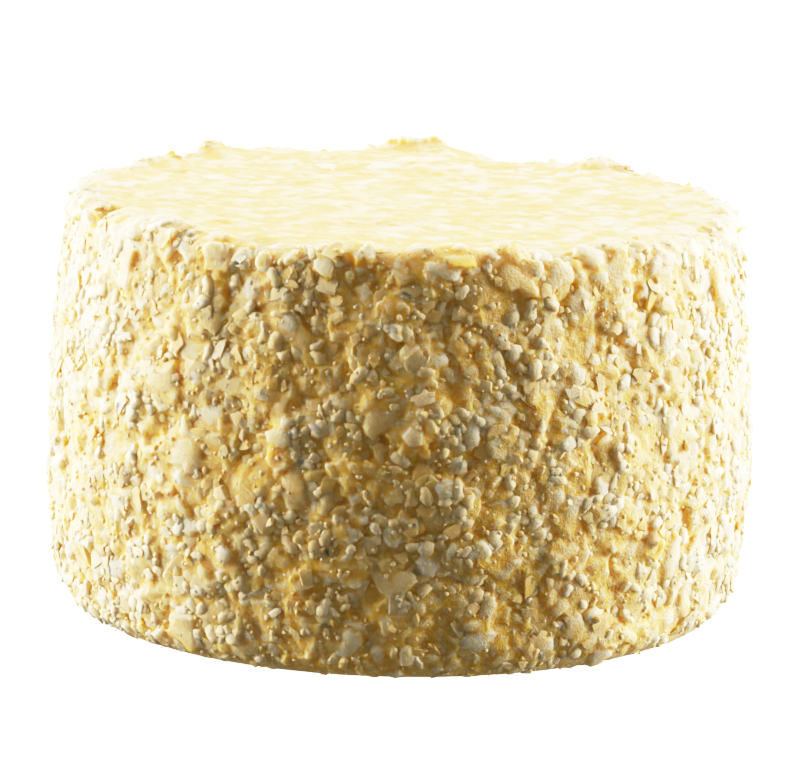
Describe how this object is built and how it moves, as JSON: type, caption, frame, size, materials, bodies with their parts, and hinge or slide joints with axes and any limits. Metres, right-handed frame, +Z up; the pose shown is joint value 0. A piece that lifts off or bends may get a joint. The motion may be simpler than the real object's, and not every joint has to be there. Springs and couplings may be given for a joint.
{
  "type": "cheese wheel",
  "caption": "Whole uncut wheel of crumbly sour-milk cheese, with a pressed flat top, a craggy rim and a granular side.",
  "frame": {"origin": "middle of the flat underside, on the surface that the cheese stands on", "axes": "+Z up through the top, -Y towards the side shown at the front"},
  "size_m": [0.1602, 0.16, 0.094],
  "materials": {
    "curd": "moist crumbly cheese curd, pale ivory to straw, with amber in the cracks"
  },
  "bodies": {
    "root": {"grey_cheese": "curd"}
  },
  "joints": []
}
